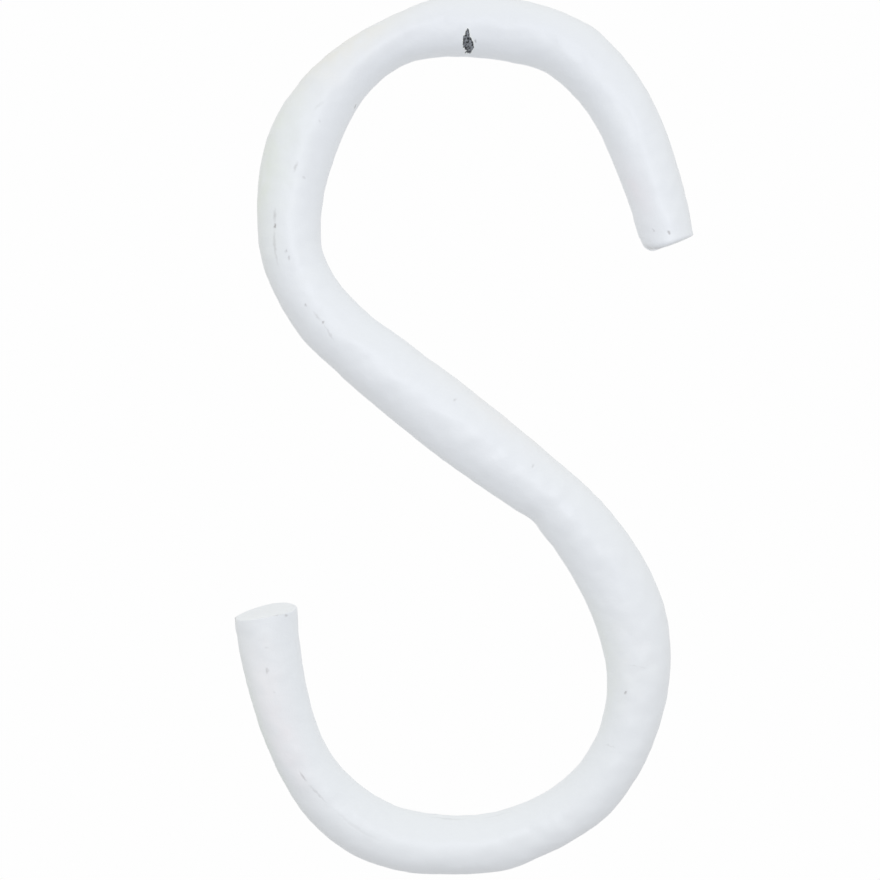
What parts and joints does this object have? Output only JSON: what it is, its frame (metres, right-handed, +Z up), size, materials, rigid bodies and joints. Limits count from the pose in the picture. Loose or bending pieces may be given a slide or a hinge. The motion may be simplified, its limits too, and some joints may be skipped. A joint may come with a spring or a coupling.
{
  "type": "s hook",
  "caption": "Hand-bent steel S hook with a thick white paint coat; the upper bow hangs on a rail and the lower bow carries what hangs from it.",
  "frame": {"origin": "the rail seat: the point under the crown, on the inner side of the upper bow, where the hook hangs", "axes": "+Z up along the hook as it hangs, +X towards the side of the upper tip, +Y along the rail, away from a viewer in front of the hook"},
  "size_m": [0.0579, 0.0086, 0.1115],
  "materials": {
    "paint": "satin white enamel, brushed on thickly over steel bar"
  },
  "bodies": {
    "root": {"s_hook": "paint"}
  },
  "joints": []
}
